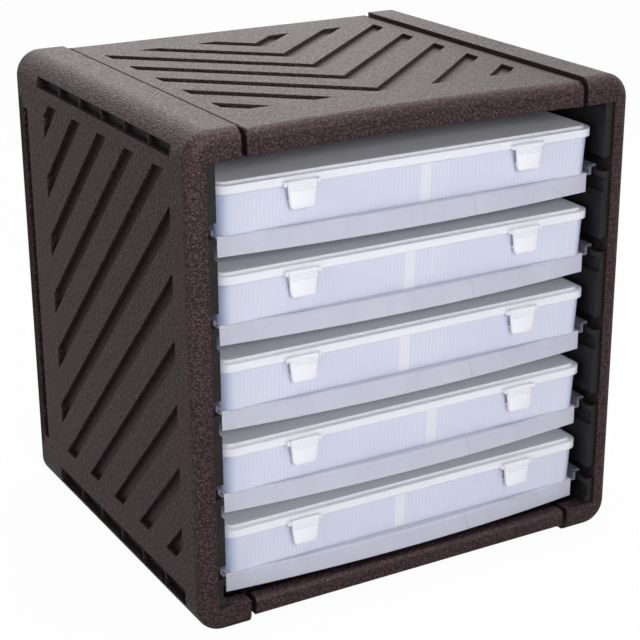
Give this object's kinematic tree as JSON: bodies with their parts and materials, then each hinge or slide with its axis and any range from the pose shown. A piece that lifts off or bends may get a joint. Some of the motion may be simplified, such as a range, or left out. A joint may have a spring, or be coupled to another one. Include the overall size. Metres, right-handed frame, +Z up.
{
  "type": "tool storage rack",
  "caption": "Free-standing rack of dark plastic with pull-out shelves, each carrying a translucent utility box with a hinged lid, flap latches and a divider.",
  "frame": {"origin": "on the floor under the middle of the rack", "axes": "+Z up, the open front with the latches towards -Y, +X to the right seen from the front"},
  "size_m": [0.395, 0.335, 0.4],
  "materials": {
    "cabinet": "pebble grain",
    "runner": "smooth moulded",
    "shelf": "frosted",
    "box": "translucent",
    "lid": "translucent",
    "latch": "translucent",
    "divider": "translucent"
  },
  "bodies": {
    "cabinet": {"left_side_panel": "cabinet", "right_side_panel": "cabinet", "top_panel": "cabinet", "bottom_panel": "cabinet", "back_panel": "cabinet", "left_runner": "runner", "right_runner": "runner"},
    "shelf_1": {"shelf_1": "shelf"},
    "box_1": {"box_base_1": "box", "divider_1": "divider"},
    "lid_1": {"box_lid_1": "lid"},
    "latch_left_1": {"latch_left_1": "latch"},
    "latch_right_1": {"latch_right_1": "latch"},
    "shelf_2": {"shelf_2": "shelf"},
    "box_2": {"box_base_2": "box", "divider_2": "divider"},
    "lid_2": {"box_lid_2": "lid"},
    "latch_left_2": {"latch_left_2": "latch"},
    "latch_right_2": {"latch_right_2": "latch"},
    "shelf_3": {"shelf_3": "shelf"},
    "box_3": {"box_base_3": "box", "divider_3": "divider"},
    "lid_3": {"box_lid_3": "lid"},
    "latch_left_3": {"latch_left_3": "latch"},
    "latch_right_3": {"latch_right_3": "latch"},
    "shelf_4": {"shelf_4": "shelf"},
    "box_4": {"box_base_4": "box", "divider_4": "divider"},
    "lid_4": {"box_lid_4": "lid"},
    "latch_left_4": {"latch_left_4": "latch"},
    "latch_right_4": {"latch_right_4": "latch"},
    "shelf_5": {"shelf_5": "shelf"},
    "box_5": {"box_base_5": "box", "divider_5": "divider"},
    "lid_5": {"box_lid_5": "lid"},
    "latch_left_5": {"latch_left_5": "latch"},
    "latch_right_5": {"latch_right_5": "latch"}
  },
  "joints": [
    {"name": "shelf_1_slide", "type": "slide", "parent": "cabinet", "child": "shelf_1", "axis": [0, -1, 0], "range_m": [0, 0.22]},
    {"name": "box_1_slide", "type": "slide", "parent": "shelf_1", "child": "box_1", "axis": [0, -1, 0], "range_m": [0, 0.29]},
    {"name": "lid_1_hinge", "type": "hinge", "parent": "box_1", "child": "lid_1", "pos_m": [0, 0.1299, 0.0708], "axis": [-1, 0, 0], "range_deg": [0, 2.2]},
    {"name": "latch_left_1_hinge", "type": "hinge", "parent": "lid_1", "child": "latch_left_1", "pos_m": [-0.102, -0.16046, 0.0755], "axis": [-1, 0, 0], "range_deg": [0, 100]},
    {"name": "latch_right_1_hinge", "type": "hinge", "parent": "lid_1", "child": "latch_right_1", "pos_m": [0.102, -0.16046, 0.0755], "axis": [-1, 0, 0], "range_deg": [0, 100]},
    {"name": "shelf_2_slide", "type": "slide", "parent": "cabinet", "child": "shelf_2", "axis": [0, -1, 0], "range_m": [0, 0.22]},
    {"name": "box_2_slide", "type": "slide", "parent": "shelf_2", "child": "box_2", "axis": [0, -1, 0], "range_m": [0, 0.29]},
    {"name": "lid_2_hinge", "type": "hinge", "parent": "box_2", "child": "lid_2", "pos_m": [0, 0.1299, 0.1397], "axis": [-1, 0, 0], "range_deg": [0, 2.2]},
    {"name": "latch_left_2_hinge", "type": "hinge", "parent": "lid_2", "child": "latch_left_2", "pos_m": [-0.102, -0.16046, 0.1444], "axis": [-1, 0, 0], "range_deg": [0, 100]},
    {"name": "latch_right_2_hinge", "type": "hinge", "parent": "lid_2", "child": "latch_right_2", "pos_m": [0.102, -0.16046, 0.1444], "axis": [-1, 0, 0], "range_deg": [0, 100]},
    {"name": "shelf_3_slide", "type": "slide", "parent": "cabinet", "child": "shelf_3", "axis": [0, -1, 0], "range_m": [0, 0.22]},
    {"name": "box_3_slide", "type": "slide", "parent": "shelf_3", "child": "box_3", "axis": [0, -1, 0], "range_m": [0, 0.29]},
    {"name": "lid_3_hinge", "type": "hinge", "parent": "box_3", "child": "lid_3", "pos_m": [0, 0.1299, 0.2086], "axis": [-1, 0, 0], "range_deg": [0, 2.2]},
    {"name": "latch_left_3_hinge", "type": "hinge", "parent": "lid_3", "child": "latch_left_3", "pos_m": [-0.102, -0.16046, 0.2133], "axis": [-1, 0, 0], "range_deg": [0, 100]},
    {"name": "latch_right_3_hinge", "type": "hinge", "parent": "lid_3", "child": "latch_right_3", "pos_m": [0.102, -0.16046, 0.2133], "axis": [-1, 0, 0], "range_deg": [0, 100]},
    {"name": "shelf_4_slide", "type": "slide", "parent": "cabinet", "child": "shelf_4", "axis": [0, -1, 0], "range_m": [0, 0.22]},
    {"name": "box_4_slide", "type": "slide", "parent": "shelf_4", "child": "box_4", "axis": [0, -1, 0], "range_m": [0, 0.29]},
    {"name": "lid_4_hinge", "type": "hinge", "parent": "box_4", "child": "lid_4", "pos_m": [0, 0.1299, 0.2775], "axis": [-1, 0, 0], "range_deg": [0, 2.2]},
    {"name": "latch_left_4_hinge", "type": "hinge", "parent": "lid_4", "child": "latch_left_4", "pos_m": [-0.102, -0.16046, 0.2822], "axis": [-1, 0, 0], "range_deg": [0, 100]},
    {"name": "latch_right_4_hinge", "type": "hinge", "parent": "lid_4", "child": "latch_right_4", "pos_m": [0.102, -0.16046, 0.2822], "axis": [-1, 0, 0], "range_deg": [0, 100]},
    {"name": "shelf_5_slide", "type": "slide", "parent": "cabinet", "child": "shelf_5", "axis": [0, -1, 0], "range_m": [0, 0.22]},
    {"name": "box_5_slide", "type": "slide", "parent": "shelf_5", "child": "box_5", "axis": [0, -1, 0], "range_m": [0, 0.29]},
    {"name": "lid_5_hinge", "type": "hinge", "parent": "box_5", "child": "lid_5", "pos_m": [0, 0.1299, 0.3464], "axis": [-1, 0, 0], "range_deg": [0, 3.5]},
    {"name": "latch_left_5_hinge", "type": "hinge", "parent": "lid_5", "child": "latch_left_5", "pos_m": [-0.102, -0.16046, 0.3511], "axis": [-1, 0, 0], "range_deg": [0, 100]},
    {"name": "latch_right_5_hinge", "type": "hinge", "parent": "lid_5", "child": "latch_right_5", "pos_m": [0.102, -0.16046, 0.3511], "axis": [-1, 0, 0], "range_deg": [0, 100]}
  ]
}
